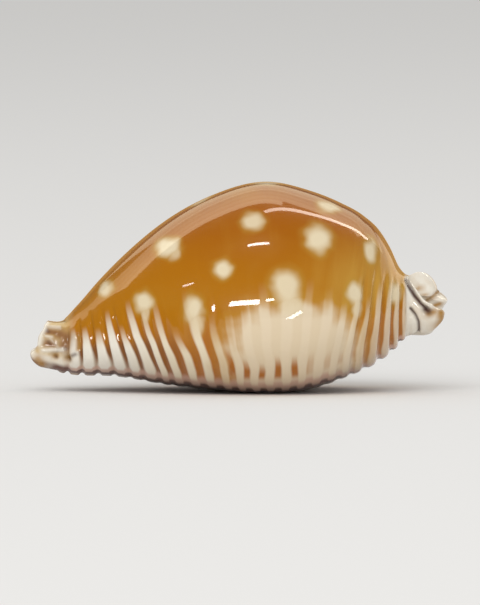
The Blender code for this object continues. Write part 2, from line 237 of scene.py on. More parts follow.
    def plain(self, line: Places, x: Array) -> Array:
        """Read a line of plain values at a station."""
        return Line(line, self.length).at(x)

    def canal_share(self, front: bool, side: Side, around: Array) -> Array:
        """Length of a canal at a place round the side.

        Args:
            front: Whether it is the front canal or the rear one.
            side: Side of the slit.
            around: Place round the side.

        Returns:
            The length, as a share of the full one.
        """
        rims, neck = (self.front_rims, self.front_neck) if front else (self.rear_rims, self.rear_neck)
        end = -self.length / 2 if front else self.length / 2
        line = rims[0] if side is Side.COLUMELLA else rims[1]
        return (Line(line, up=self.length).at(around) - neck) / (end - neck)

    def rib_number(self, margin: Array) -> Array:
        """Number of the rib at a margin station: whole on a crest, and a half between two."""
        stations = np.array(self.grooves_mm) * MM
        return self.first_groove + np.interp(margin, stations, np.arange(len(stations)))

    def column_station(self, margin: Array, side: Side, around: Array) -> Array:
        """Station of a growth column where it has climbed some way round the side.

        Args:
            margin: Station of the column at the margin.
            side: Side of the slit.
            around: Place round the side, 0 at the lip and 1 at the dorsal line.

        Returns:
            The station, fanned out between the necks, and scaled to the rims beyond them.
        """
        away = margin - self.fan_centre
        reach = np.where(away < 0, self.front_neck, self.rear_neck) - self.fan_centre
        fan = self.fan * away * (1 - np.minimum(away / reach, 1) ** 2) ** 2
        station = margin + fan * self.fan_climb.at(around)
        in_front = self.front_neck + (margin - self.front_neck) * self.canal_share(True, side, around)
        behind = self.rear_neck + (margin - self.rear_neck) * self.canal_share(False, side, around)
        station = np.where(margin < self.front_neck, in_front, station)
        return np.where(margin > self.rear_neck, behind, station)

    def start_angle(self, reach: Array, half_width: Array, sharpness: Union[float, Array]) -> Array:
        """Angle at which a section passes a sideways reach near its base."""
        return np.arcsin(np.clip(signed_power(reach / half_width, sharpness / 2), -1, 1))

    def slit_edge(self, x: Array, side: Side) -> Array:
        """Sideways reach of one wall of the slit from the middle plane, positive outwards."""
        return self.plain(self.slit_width, x) / 2 - side.value * self.wide(self.slit_plan, x)

    def outside(self, x: Array, side: Side, around: Array) -> tuple[Array, Array]:
        """Outer skin from the edge of the lip (0) to the dorsal line (1).

        Args:
            x: Station.
            side: Side of the slit.
            around: Place round the side.

        Returns:
            The sideways place and the height.
        """
        half_width = self.wide(self.outer_plan, x)
        widest = self.tall(self.widest_line, x)
        low = self.plain(self.lower_sharpness, x)
        reach = self.slit_edge(x, side) + self.plain(self.lip_radius, x)
        start = self.start_angle(reach, half_width, low)
        angle = start + (np.pi - start) * around
        below = np.cos(angle) > 0
        power = 2 / np.where(below, low, self.plain(self.upper_sharpness, x))
        rise = np.where(below, widest - self.tall(self.base_line, x), self.tall(self.dorsal_line, x) - widest)
        y = -side.value * half_width * signed_power(np.sin(angle), power)
        return y, widest - rise * signed_power(np.cos(angle), power)

    def inside(self, x: Array, side: Side, around: Array) -> tuple[Array, Array]:
        """Inner skin from the top of the lip's wall (0) to the inside of the dorsal line (1).

        Args:
            x: Station.
            side: Side of the slit.
            around: Place round the side.

        Returns:
            The sideways place and the height.
        """
        power = 2 / self.inner_sharpness
        half_width = self.wide(self.inner_plan, x)
        centre = self.wide(self.slit_plan, x) * smoothstep(*self.inside_shift, np.abs(x) / self.length)
        reach = self.slit_edge(x, side) + side.value * centre
        start = self.start_angle(reach, half_width, self.inner_sharpness)
        angle = start + (np.pi - start) * around
        roof = self.tall(self.inner_roof_line, x)
        floor = self.tall(self.inner_floor_line, x)
        y = centre - side.value * half_width * signed_power(np.sin(angle), power)
        return y, (roof + floor) / 2 - (roof - floor) / 2 * signed_power(np.cos(angle), power)

    def lip(self, x: Array, side: Side, down: Array) -> tuple[Array, Array]:
        """Lip of the slit, from the top of its wall (0), over the round, to the base (1).

        Args:
            x: Station.
            side: Side of the slit.
            down: Place down the wall and round the lip.

        Returns:
            The sideways place and the height.
        """
        edge_y, edge_z = self.outside(x, side, np.zeros_like(x))
        radius = self.plain(self.lip_radius, x)
        turn = np.clip(2 * down - 1, 0, 1) * np.pi / 2
        wall_top = self.inside(x, side, np.zeros_like(x))[1]
        wall_z = wall_top + (edge_z + radius - wall_top) * np.clip(2 * down, 0, 1)
        z = np.where(down < 0.5, wall_z, edge_z + radius * (1 - np.sin(turn)))
        return edge_y + side.value * radius * np.cos(turn), z

    def closing(self, margin: Array, side: Side, around: Array) -> Array:
        """Share by which both skins close in on the middle of the wall towards the rims.

        Args:
            margin: Station of the column at the margin.
            side: Side of the slit.
            around: Place round the side.

        Returns:
            The share, 0 away from the rims.
        """
        end = self.length / 2
        beak = self.canal_share(False, side, around)
        from_front = np.clip(1 - (margin + end) / self.front_rim_radius, 0, 1)
        from_rear = np.clip(1 - (end - margin) / self.rear_rim_radius, 0, 1)
        front = 1 - np.sqrt(1 - from_front ** 2)
        rear = (1 - np.sqrt(1 - from_rear ** 2)) * smoothstep(0.0, self.full_beak, beak)
        return self.rim_closing * (front + rear)

    def point(self, margin: Array, zone: Zone, side: Side, place: Array) -> Array:
        """Point of the smooth skin.

        Args:
            margin: Station of the column at the margin.
            zone: Stretch of the section.
            side: Side of the slit.
            place: Place along that stretch.

        Returns:
            The points, one row each.
        """
        around = np.zeros_like(margin) if zone is Zone.LIP else place + np.zeros_like(margin)
        x = self.column_station(margin, side, around)
        maker = {Zone.OUTSIDE: self.outside, Zone.LIP: self.lip, Zone.INSIDE: self.inside}[zone]
        y, z = maker(x, side, place + np.zeros_like(margin))
        outer_y, outer_z = self.outside(x, side, around)
        inner_y, inner_z = self.inside(x, side, around)
        share = self.closing(margin, side, around)
        y = y + ((outer_y + inner_y) / 2 - y) * share
        z = z + ((outer_z + inner_z) / 2 - z) * share
        return np.stack([x, y, z], axis=1)


@dataclass(frozen=True)
class Carving:
    """A small groove, ridge or stain along a path on a canal, in millimetres as seen from one side.

    Attributes:
        path: Stations and heights of its points; one point makes a round pit or blot.
        width: Half width at which it has faded to a third.
        depth: How deep it is; a ridge has a negative depth, and a stain none.
        mark: What it is painted with.
        strength: How strongly it is painted.
        side: Side of the slit that carries it, or both.
        zones: Stretches of the sections that carry it.
    """

    path: Places
    width: float
    depth: float = 0.0
    mark: Mark = Mark.BARE
    strength: float = 1.0
    side: Optional[Side] = Side.COLUMELLA
    zones: tuple[Zone, ...] = (Zone.OUTSIDE,)

    def cover(self, points: Array, zone: Zone, side: Side) -> Array:
        """How strongly the carving reaches each point.

        Args:
            points: Points of the skin in metres.
            zone: Stretch of the section that they are on.
            side: Side of the slit that they are on.

        Returns:
            Shares from 0 to 1.
        """
        if zone not in self.zones or self.side not in (None, side):
            return np.zeros(len(points))
        flat = points[:, [0, 2]] / MM
        corners = [np.array(corner) for corner in self.path]
        away = np.linalg.norm(flat - corners[0], axis=1)
        for start, end in zip(corners, corners[1:]):
            run = end - start
            along = np.clip((flat - start) @ run / (run @ run), 0, 1)
            away = np.minimum(away, np.linalg.norm(flat - start - along[:, None] * run, axis=1))
        return np.exp(-(away / self.width) ** 2)


# Rear canal first, then the front one.
CANAL_CARVINGS = tuple(Carving(*row) for row in (
    (((24.1, 16.1), (24.5, 15.2), (25.1, 13.9), (25.9, 12.8), (26.9, 12.0)), 0.3, 0.42, Mark.UMBER),
    (((26.7, 12.0), (27.1, 11.7)), 0.55, 0.35, Mark.UMBER),
    (((24.6, 12.1), (25.2, 11.2), (25.65, 10.1), (25.75, 9.0), (25.6, 8.1)), 0.2, 0.32, Mark.UMBER, 0.9),
    (((24.75, 15.9), (25.6, 14.6), (26.6, 13.5), (27.5, 12.6)), 0.38, -0.22, Mark.WHITE),
    (((24.8, 10.6), (24.9, 8.2)), 0.4, -0.22, Mark.WHITE),
    (((28.9, 11.4), (29.1, 10.4), (28.6, 9.2)), 0.75, 0.0, Mark.OCHRE),
    (((27.2, 11.3), (27.9, 11.6)), 0.6, 0.0, Mark.OCHRE, 0.9),
    (((27.0, 12.9), (27.9, 13.4), (28.9, 14.4)), 0.28, 0.3, Mark.OCHRE, 0.9, Side.OUTER_LIP,
     (Zone.INSIDE, Zone.OUTSIDE)),
    (((28.2, 12.2), (28.9, 12.4)), 0.4, 0.1, Mark.OCHRE, 1.0, Side.OUTER_LIP, (Zone.INSIDE, Zone.OUTSIDE)),
    (((24.5, 16.0), (25.6, 14.9), (26.9, 13.6)), 0.35, 0.0, Mark.OCHRE, 0.7, Side.OUTER_LIP, (Zone.INSIDE,)),
    (((-26.4, 5.15),), 0.55, 0.4, Mark.OCHRE), (((-24.6, 4.85),), 0.6, 0.45, Mark.OCHRE),
    (((-26.3, 5.0),), 0.28, 0.0, Mark.UMBER, 0.7), (((-24.4, 4.7),), 0.35, 0.0, Mark.UMBER, 0.8),
    (((-23.05, 8.2), (-23.1, 6.2)), 0.25, 0.2, Mark.OCHRE),
    (((-27.7, 9.35), (-25.8, 9.25)), 0.24, -0.16, Mark.WHITE, 0.55),
    (((-27.8, 8.05), (-26.9, 7.9)), 0.22, -0.14, Mark.WHITE, 0.6),
    (((-27.2, 7.8), (-25.9, 6.3)), 0.18, -0.08, Mark.WHITE, 0.35),
    (((-28.2, 6.0), (-26.8, 6.05), (-25.3, 6.1)), 0.3, -0.18, Mark.WHITE, 0.8),
    (((-27.7, 9.8), (-28.5, 8.3), (-28.8, 7.0)), 0.45, -0.1, Mark.WHITE),
    (((-28.9, 4.7), (-28.4, 4.0)), 0.7, -0.05, Mark.OCHRE, 0.8),
    (((-27.7, 8.75), (-26.3, 8.6)), 0.6, 0.12, Mark.TAN),
    (((-25.9, 8.4), (-24.8, 7.9), (-25.1, 6.6)), 1.0, 0.12, Mark.TAN),
    (((-27.6, 7.0), (-26.6, 6.8)), 0.7, 0.12, Mark.TAN),
    (((-27.8, 9.0), (-27.4, 8.7)), 0.25, 0.0, Mark.UMBER, 0.6),
    (((-27.4, 7.2), (-27.1, 6.9)), 0.25, 0.0, Mark.UMBER, 0.5),
    (((-26.2, 6.0), (-25.0, 6.2)), 0.25, 0.1, Mark.UMBER, 0.5),
    (((-23.35, 5.55), (-23.9, 5.3)), 0.28, 0.0, Mark.UMBER, 0.7),
    (((-27.3, 10.2), (-25.2, 10.2)), 0.22, 0.08, Mark.UMBER, 0.7, None)))


@dataclass
class ShellSkin:
    """The smooth skin of the shell as one closed mesh, with what the ribs and the paint need.

    Attributes:
        form: The shell's form.
        carvings: Small grooves, ridges and stains of the canals.
        columns: How many columns there are between the necks.
        rim_columns: How many columns round off each rim.
        outside_steps: Points on each side, from the lip to the dorsal line.
        lip_steps: Points down each lip.
        inside_steps: Points on each side of the inside.
        canal_spacing: Distance between the columns on a canal.
        step_growth: How much closer the points are near the lips.
    """

    form: ShellForm
    carvings: tuple[Carving, ...] = CANAL_CARVINGS
    columns: int = 320
    rim_columns: int = 11
    outside_steps: int = 84
    lip_steps: int = 12
    inside_steps: int = 24
    canal_spacing: float = 0.00013
    step_growth: float = 1.15

    def margins(self) -> Array:
        """List where the columns start at the margin.

        Returns:
            The stations, closer at the rims.
        """
        form = self.form
        end = form.length / 2
        bend = 1 - np.cos(np.linspace(0, np.pi / 2, self.rim_columns))
        front_start = -end + form.front_rim_radius
        rear_end = end - form.rear_rim_radius
        front = -end + form.front_rim_radius * bend
        front_canal = np.arange(front_start + self.canal_spacing, form.front_neck, self.canal_spacing)
        body = np.linspace(form.front_neck, form.rear_neck, self.columns)
        rear_canal = np.arange(form.rear_neck + self.canal_spacing, rear_end, self.canal_spacing)
        rear = end - form.rear_rim_radius * bend[::-1]
        return np.concatenate([front, front_canal, body, rear_canal, rear])

    def ring(self) -> Ring:
        """List the places round one section.

        Returns:
            The places, in order and without repeats.
        """
        lip = [(Zone.LIP, step / self.lip_steps) for step in range(self.lip_steps)]
        up = [(Zone.OUTSIDE, (step / self.outside_steps) ** self.step_growth)
              for step in range(self.outside_steps)]
        inner = [(Zone.INSIDE, (step / self.inside_steps) ** self.step_growth)
                 for step in range(1, self.inside_steps)]
        near, far = Side.COLUMELLA, Side.OUTER_LIP
        ring = [(zone, near, place) for zone, place in lip + up]
        ring += [(Zone.OUTSIDE, near, 1.0)]
        ring += [(zone, far, place) for zone, place in reversed(lip + up)]
        ring += [(zone, far, place) for zone, place in inner]
        ring += [(Zone.INSIDE, near, 1.0)]
        ring += [(zone, near, place) for zone, place in reversed(inner)]
        return ring

    @staticmethod
    def around_value(zone: Zone, place: float) -> float:
        """Place round the side as painted: 1 at the dorsal line, 0 at the lip's edge, below 0 inside."""
        return {Zone.OUTSIDE: place, Zone.LIP: place - 1.0, Zone.INSIDE: -1.0 - place}[zone]

    def faces(self, columns: int, ring: Ring) -> list[tuple[int, ...]]:
        """List the faces between the columns, and the strips that close the rims.

        Args:
            columns: How many columns there are.
            ring: Places round one section.

        Returns:
            The faces, as numbers of points.
        """
        count = len(ring)
        faces = []
        for column in range(columns - 1):
            left = column * count
            for here in range(count):
                after = (here + 1) % count
                faces.append((left + count + here, left + count + after, left + after, left + here))
        faces += self.rim_strip(0, ring)
        faces += [face[::-1] for face in self.rim_strip((columns - 1) * count, ring)]
        return faces

    def rim_strip(self, first: int, ring: Ring) -> list[tuple[int, ...]]:
        """List the triangles between a rim's outer and inner edge.

        Args:
            first: Number of the rim's first point.
            ring: Places round one section.

        Returns:
            The triangles, as numbers of points.
        """
        outer = [index for index, (zone, _, _) in enumerate(ring) if zone is not Zone.INSIDE]
        inner = [outer[0]] + list(range(len(ring) - 1, outer[-1], -1)) + [outer[-1]]
        shares = []
        for zone, side, place in ring:
            around = 0.0 if zone is Zone.LIP else place
            shares.append(around if side is Side.COLUMELLA else 2.0 - around)
        strip = []
        here = there = 0
        outer_last = len(outer) - 1
        inner_last = len(inner) - 1
        while here < outer_last or there < inner_last:
            start, across = outer[here], inner[there]
            behind = 0 < there < inner_last and here < outer_last
            if there == inner_last or behind and shares[outer[here + 1]] <= shares[inner[there + 1]]:
                here += 1
                corner = outer[here]
            else:
                there += 1
                corner = inner[there]
            if len({start, corner, across}) == 3:
                strip.append((first + across, first + corner, first + start))
        return strip

    def build(self) -> bpy.types.Object:
        """Make the smooth skin.

        Returns:
            The new object, with its attributes for the relief and the paint.
        """
        margins = self.margins()
        ring = self.ring()
        points = np.zeros((len(margins), len(ring), 3))
        names = ["rib_number", "around", "side", "ribbed", "canal", "relief"]
        names += [mark.value for mark in PAINTED]
        values = {name: np.zeros((len(margins), len(ring))) for name in names}
        form = self.form
        front = 1 - smoothstep(form.front_neck, form.front_neck + 2 * form.rib_start_width, margins)
        rear = smoothstep(form.rear_neck - form.rib_end_width, form.rear_neck, margins)
        ribbed = smoothstep(form.front_neck - form.rib_start_width, form.front_neck, margins) * (1 - rear)
        for index, (zone, side, place) in enumerate(ring):
            spots = form.point(margins, zone, side, np.array(place))
            points[:, index] = spots
            values["rib_number"][:, index] = form.rib_number(margins)
            values["around"][:, index] = self.around_value(zone, place)
            values["side"][:, index] = side.value
            values["ribbed"][:, index] = ribbed * (zone is not Zone.INSIDE)
            values["canal"][:, index] = rear - front
            for carving in self.carvings:
                cover = carving.cover(spots, zone, side)
                values["relief"][:, index] -= cover * carving.depth * MM
                if carving.mark is not Mark.BARE:
                    painted = values[carving.mark.value][:, index]
                    np.maximum(painted, cover * carving.strength, out=painted)
        mesh = bpy.data.meshes.new("shell_skin")
        mesh.from_pydata(points.reshape(-1, 3), [], self.faces(len(margins), ring))
        for name, value in values.items():
            attribute = mesh.attributes.new(name, "FLOAT", "POINT")
            attribute.data.foreach_set("value", value.astype(np.float32).ravel())
        mesh.validate()
        mesh.shade_smooth()
        skin = bpy.data.objects.new("cowrie_shell", mesh)
        bpy.context.scene.collection.objects.link(skin)
        LOG.info("smooth skin: %d points, %d faces", len(mesh.vertices), len(mesh.polygons))
        return skin


def sign(operation: str, swapped: bool = False) -> Callable[["Signal", Feed], "Signal"]:
    """Make an arithmetic sign that lays a math node.

    Args:
        operation: Blender's name for what it works out.
        swapped: Whether the signal comes second.

    Returns:
        The sign, as a method of a signal.
    """
    def lay(signal: "Signal", other: Feed) -> "Signal":
        """Lay the math node."""
        return signal.bench.math(operation, *((other, signal) if swapped else (signal, other)))
    return lay


@dataclass(frozen=True)
class Signal:
    """What one output of a node carries. The arithmetic signs lay math nodes behind it."""

    bench: "Bench"
    node: bpy.types.Node
    output: Key = 0

    __add__ = __radd__ = sign("ADD")
    __sub__ = sign("SUBTRACT")
    __rsub__ = sign("SUBTRACT", swapped=True)
    __mul__ = __rmul__ = sign("MULTIPLY")
    __truediv__ = sign("DIVIDE")
    __pow__ = sign("POWER")

    def __abs__(self) -> "Signal":
        """Lay a math node for its size."""
        return self.bench.math("ABSOLUTE", self)

    def __getitem__(self, output: Key) -> "Signal":
        """Take another output of the same node."""
        return Signal(self.bench, self.node, output)

    def rise(self, low: Feed, high: Feed, bottom: Feed = 0.0, top: Feed = 1.0) -> "Signal":
        """Rise smoothly as the signal goes from low to high.

        Args:
            low: Where the rise starts.
            high: Where it ends.
            bottom: Result up to there.
            top: Result from there on.

        Returns:
            The result.
        """
        feeds = {0: self, 1: low, 2: high, 3: bottom, 4: top}
        return self.bench.node("ShaderNodeMapRange", feeds, interpolation_type="SMOOTHSTEP")


class Bench:
    """Lays nodes in one tree and wires them, left to right."""

    COLUMN = 6
    SPACING = (220, -180)

    def __init__(self, tree: bpy.types.NodeTree) -> None:
        """Start on an empty tree."""
        self.tree = tree
        self.tree.nodes.clear()

    def node(self, kind: str, feeds: Optional[dict[Key, Feed]] = None, **settings: Any) -> Signal:
        """Lay one node and feed its sockets.

        Args:
            kind: Blender's name for the node.
            feeds: A signal or a value for each socket, by its place or name.
            settings: The node's properties.

        Returns:
            Its first output.
        """
        column, row = divmod(len(self.tree.nodes), self.COLUMN)
        made = self.tree.nodes.new(kind)
        made.location = (self.SPACING[0] * column, self.SPACING[1] * row)
        for name, value in settings.items():
            setattr(made, name, value)
        for key, value in (feeds or {}).items():
            socket = made.inputs[key]
            if isinstance(value, Signal):
                self.tree.links.new(value.node.outputs[value.output], socket)
            else:
                socket.default_value = (*value, 1.0) if socket.type == "RGBA" else value
        return Signal(self, made)

    def math(self, operation: str, *values: Feed, clamp: bool = False) -> Signal:
        """Work out a number, kept between 0 and 1 where it is clamped."""
        return self.node("ShaderNodeMath", dict(enumerate(values)), operation=operation, use_clamp=clamp)

    def vector(self, operation: str, *values: Feed) -> Signal:
        """Work out a vector."""
        return self.node("ShaderNodeVectorMath", dict(enumerate(values)), operation=operation)

    def scaled(self, vector: Signal, scale: Feed) -> Signal:
        """Scale a vector."""
        return self.node("ShaderNodeVectorMath", {"Vector": vector, "Scale": scale}, operation="SCALE")

    def noise(self, where: Signal, scale: float, detail: float, distortion: float, turn: Feed) -> Signal:
        """Read a soft noise.

        Args:
            where: Place at which it is read.
            scale: How fine it is.
            detail: How many finer layers it has.
            distortion: How much it swirls.
            turn: Which of the endless noises it is.

        Returns:
            The noise, about a half on average.
        """
        feeds = {"Vector": where, "W": turn, "Scale": scale, "Detail": detail, "Distortion": distortion}
        return self.node("ShaderNodeTexNoise", feeds, noise_dimensions="4D")

    def paint(self, ground: Feed, *coats: tuple[Feed, Feed]) -> Signal:
        """Lay colours over one another.

        Args:
            ground: Colour below them all.
            coats: Share and colour of each coat, from the lowest up.

        Returns:
            The colour that shows.
        """
        for share, colour in coats:
            ground = self.node("ShaderNodeMix", {0: share, 6: ground, 7: colour}, data_type="RGBA")[2]
        return ground

    def attribute(self, name: str) -> Signal:
        """Read one of the mesh's own numbers, in a shader tree."""
        return self.node("ShaderNodeAttribute", attribute_name=name)["Fac"]


def new_group(name: str, inputs: dict[str, Feed], outputs: tuple[str, ...],
              kind: str = "ShaderNodeTree") -> tuple[Bench, Signal]:
    """Start a node group with named sockets.

    Args:
        name: The group's name.
        inputs: Default of each input, a number or a vector, or else its socket type.
        outputs: Names of the outputs: numbers, or geometry in a geometry tree.
        kind: Kind of tree.

    Returns:
        The bench for its nodes and the node that brings the inputs.
    """
    tree = bpy.data.node_groups.new(name, kind)
    for title, given in inputs.items():
        named = isinstance(given, str)
        socket_type = given if named else {float: "NodeSocketFloat", tuple: "NodeSocketVector"}[type(given)]
        socket = tree.interface.new_socket(title, in_out="INPUT", socket_type=socket_type)
        if not named:
            socket.default_value = given
    carried = "NodeSocketFloat" if kind == "ShaderNodeTree" else "NodeSocketGeometry"
    for title in outputs:
        tree.interface.new_socket(title, in_out="OUTPUT", socket_type=carried)
    bench = Bench(tree)
    return bench, bench.node("NodeGroupInput")


@dataclass(frozen=True)
class RibRelief:
    """The ribs and teeth, raised on the smooth skin by a Geometry Nodes tree.

    Sizes and stations are in metres, and places go round the side.

    Attributes:
        rib_height: Height of the ribs in the middle of the shell.
        end_rib_height: Their height towards both ends.
        tooth_height: Height of the teeth on the lips.
        unevenness: Share by which the height varies from place to place.
        wander: How far a groove strays, as a share of the pitch.
        groove_sharpness: How narrow the grooves are beside the crests.
        seed: Which of the endless noises sets the unevenness.
        end_ribs: Stations between which the middle's ribs pass into those of the ends.
        fade_place: Place where a rib of the middle fades out.
        end_fade_place: Place where one near an end fades out.
        fade_width: How long a rib takes to fade.
        middle_fade_place: Place where the ribs in the cream cloud fade out.
        cloud_start: Stations between which those take over, seen from the front.
        cloud_end: The same, seen from the rear.
        tooth_places: Places on the lip between which the teeth are at their highest.
        front_sharpening: What is added to the sharpness towards the front.
        front: Stations between which it is added.
        hem: Places between which the ribs rise from their low share to the full height.
        hem_share: That low share.
        lip_edge: Places between which the low share ends on the lip.
        rear: Stations between which the low share ends towards the rear.
        drift_scale: How fine the noise is that makes the grooves stray.
        rough_scale: How fine the noise is that varies the height.
        sharp_angle: Angle above which an edge is drawn sharp.
    """

    rib_height: float = 0.00020
    end_rib_height: float = 0.00044
    tooth_height: float = 0.00070
    unevenness: float = 0.35
    wander: float = 0.10
    groove_sharpness: float = 2.0
    seed: float = 7.0
    end_ribs: Pair = (0.0120, 0.0228)
    fade_place: float = 0.44
    end_fade_place: float = 0.54
    fade_width: float = 0.16
    middle_fade_place: float = 0.10
    cloud_start: Pair = (-0.004, 0.001)
    cloud_end: Pair = (0.018, 0.012)
    tooth_places: Pair = (-0.60, -0.50)
    front_sharpening: float = 2.0
    front: Pair = (-0.006, -0.016)
    hem: Pair = (0.12, 0.34)
    hem_share: float = 0.5
    lip_edge: Pair = (0.04, 0.0)
    rear: Pair = (0.010, 0.018)
    drift_scale: float = 0.30
    rough_scale: float = 0.45
    sharp_angle: float = math.radians(40.0)

    def tree(self) -> bpy.types.NodeTree:
        """Build the tree.

        Returns:
            The tree, with named inputs for the sizes.
        """
        inputs = {"Geometry": "NodeSocketGeometry", "Rib Height": self.rib_height,
                  "End Rib Height": self.end_rib_height, "Tooth Height": self.tooth_height,
                  "Unevenness": self.unevenness, "Wander": self.wander,
                  "Groove Sharpness": self.groove_sharpness, "Seed": self.seed,
                  "Material": "NodeSocketMaterial"}
        bench, given = new_group("rib_relief", inputs, ("Geometry",), "GeometryNodeTree")
        bench.tree.is_modifier = True
        place = bench.node("GeometryNodeInputPosition")
        x = bench.node("ShaderNodeSeparateXYZ", {0: place})
        where = bench.scaled(place, 1 / MM)
        number, around, ribbed, carved = (
            bench.node("GeometryNodeInputNamedAttribute", {"Name": name}, data_type="FLOAT")["Attribute"]
            for name in ("rib_number", "around", "ribbed", "relief"))

        drift = bench.noise(where, self.drift_scale, 2.0, 0.0, given["Seed"])
        turn = (number + (drift - 0.5) * given["Wander"]) * (2 * math.pi)
        wave = 0.5 - bench.math("COSINE", turn) * 0.5
        crest = 0.5 - wave ** (x.rise(*self.front) * self.front_sharpening + given["Groove Sharpness"])

        rib = abs(x).rise(*self.end_ribs, given["Rib Height"], given["End Rib Height"])
        outer_fade = (abs(x).rise(*self.end_ribs) * (self.end_fade_place - self.fade_place)
                      + self.fade_place)
        in_cloud = x.rise(*self.cloud_start) * x.rise(*self.cloud_end)
        fade_start = outer_fade + in_cloud * (self.middle_fade_place - outer_fade)
        fade = around.rise(fade_start, fade_start + self.fade_width, 1.0, 0.0)
        lip_rise = around.rise(-1.0, self.tooth_places[0])
        tooth = lip_rise * around.rise(self.tooth_places[1], 0.0, 1.0, 0.0)
        reach = rib * fade * lip_rise + (given["Tooth Height"] - rib) * tooth
        rough = bench.noise(where, self.rough_scale, 2.0, 0.0, given["Seed"] + 3.0)
        varied = reach * ((rough - 0.5) * given["Unevenness"] * 2.0 + 1.0)
        hem = bench.math("MAXIMUM", around.rise(*self.hem, self.hem_share, 1.0), x.rise(*self.rear))
        low_lip = bench.math("MAXIMUM", hem, around.rise(*self.lip_edge))
        total = varied * low_lip * crest * ribbed + carved

        offset = bench.scaled(bench.node("GeometryNodeInputNormal"), total)
        raised = bench.node("GeometryNodeSetPosition", {"Geometry": given["Geometry"], "Offset": offset})
        flat = bench.node("ShaderNodeCombineXYZ", {0: x, 1: x["Y"], 2: bench.math("MAXIMUM", x["Z"], 0.0)})
        rested = bench.node("GeometryNodeSetPosition", {"Geometry": raised, "Position": flat})
        kept = bench.node("GeometryNodeRealizeInstances", {0: rested})
        finish = {"Geometry": kept, "Material": given["Material"]}
        bench.node("NodeGroupOutput", {0: bench.node("GeometryNodeSetMaterial", finish)})
        return bench.tree

    def raise_on(self, skin: bpy.types.Object, material: bpy.types.Material) -> None:
        """Raise the ribs on the skin and leave it a plain mesh.

        Args:
            skin: The smooth skin.
            material: The finish that the tree gives it.
        """
        tree = self.tree()
        modifier = skin.modifiers.new("ribs", "NODES")
        modifier.node_group = tree
        for item in tree.interface.items_tree:
            if item.in_out == "INPUT" and item.name == "Material":
                modifier[item.identifier] = material
        bpy.context.view_layer.update()
        graph = bpy.context.evaluated_depsgraph_get()
        ribbed = bpy.data.meshes.new_from_object(skin.evaluated_get(graph))
        skin.modifiers.clear()
        smooth = skin.data
        skin.data = ribbed
        bpy.data.meshes.remove(smooth)
        ribbed.name = "cowrie_shell"
        ribbed.shade_smooth()
        ribbed.set_sharp_from_angle(angle=self.sharp_angle)
        LOG.info("ribs raised: %d points", len(ribbed.vertices))


@dataclass(frozen=True)
class Spot:
    """A pale spot: its centre and half its extent along each axis in millimetres, and how pale it is."""

    centre: Triple
    size: Triple
    strength: float = 1.0


# Centre, half size and, where it is below 1, strength: 17 spots on the near side, then 15 on the far side.
SPOTS = tuple(Spot(row[:3], row[3:6], *row[6:]) for row in (
    (-10.2, -9.8, 21.1, 1.6, 3.2, 1.15), (-19.1, -5.9, 15.0, 1.05, 2.2, 1.0, 0.9),
    (-13.6, -12.3, 13.3, 1.15, 2.6, 1.3), (-2.5, -15.6, 18.1, 1.15, 2.6, 1.2),
    (-6.5, -16.1, 12.6, 1.2, 2.6, 1.7), (1.9, -12.0, 24.7, 1.3, 3.0, 1.15, 0.85),
    (11.2, -13.1, 22.3, 1.65, 3.0, 1.75), (6.7, -17.4, 15.6, 1.8, 2.6, 2.2, 0.95),
    (12.8, -6.1, 26.7, 1.5, 2.2, 0.9, 0.8), (18.7, -9.6, 20.5, 0.95, 3.0, 1.5, 0.95),
    (16.4, -14.4, 14.5, 1.0, 2.6, 1.4), (22.3, -7.8, 14.3, 1.05, 2.6, 1.4, 0.95),
    (-13.3, -12.6, 11.7, 0.55, 2.6, 1.2, 0.6), (-5.9, -16.6, 10.5, 0.8, 2.6, 1.5, 0.7),
    (7.3, -17.4, 13.2, 1.4, 2.6, 1.6, 0.8), (16.7, -14.4, 12.6, 0.65, 2.6, 1.4, 0.7),
    (-9.2, -10.5, 20.3, 0.7, 3.2, 1.0, 0.6), (-16.5, 7.5, 16.5, 1.2, 1.8, 1.3, 0.9),
    (-12.0, 13.2, 13.8, 1.3, 2.6, 1.3), (-7.5, 6.0, 24.9, 1.5, 1.9, 1.5, 0.9),
    (-5.5, 14.8, 18.2, 1.5, 2.6, 1.4), (-1.5, 17.2, 12.4, 1.3, 2.6, 1.6),
    (2.5, 10.5, 25.6, 1.4, 2.4, 1.3, 0.85), (4.5, 15.9, 18.6, 1.7, 2.6, 1.8),
    (10.0, 12.6, 22.9, 1.3, 2.6, 1.4, 0.9), (12.5, 16.6, 13.2, 1.5, 2.6, 1.8),
    (16.5, 5.0, 24.9, 1.6, 2.0, 1.4, 0.9), (18.0, 12.4, 16.9, 1.2, 2.4, 1.5),
    (22.0, 8.3, 11.5, 1.0, 2.4, 1.3, 0.9), (4.0, -1.0, 30.0, 1.9, 1.8, 1.6, 0.85),
    (-5.5, -1.5, 27.2, 1.4, 1.4, 1.4, 0.8), (21.5, 0.5, 20.5, 1.0, 1.3, 1.3, 0.8)))


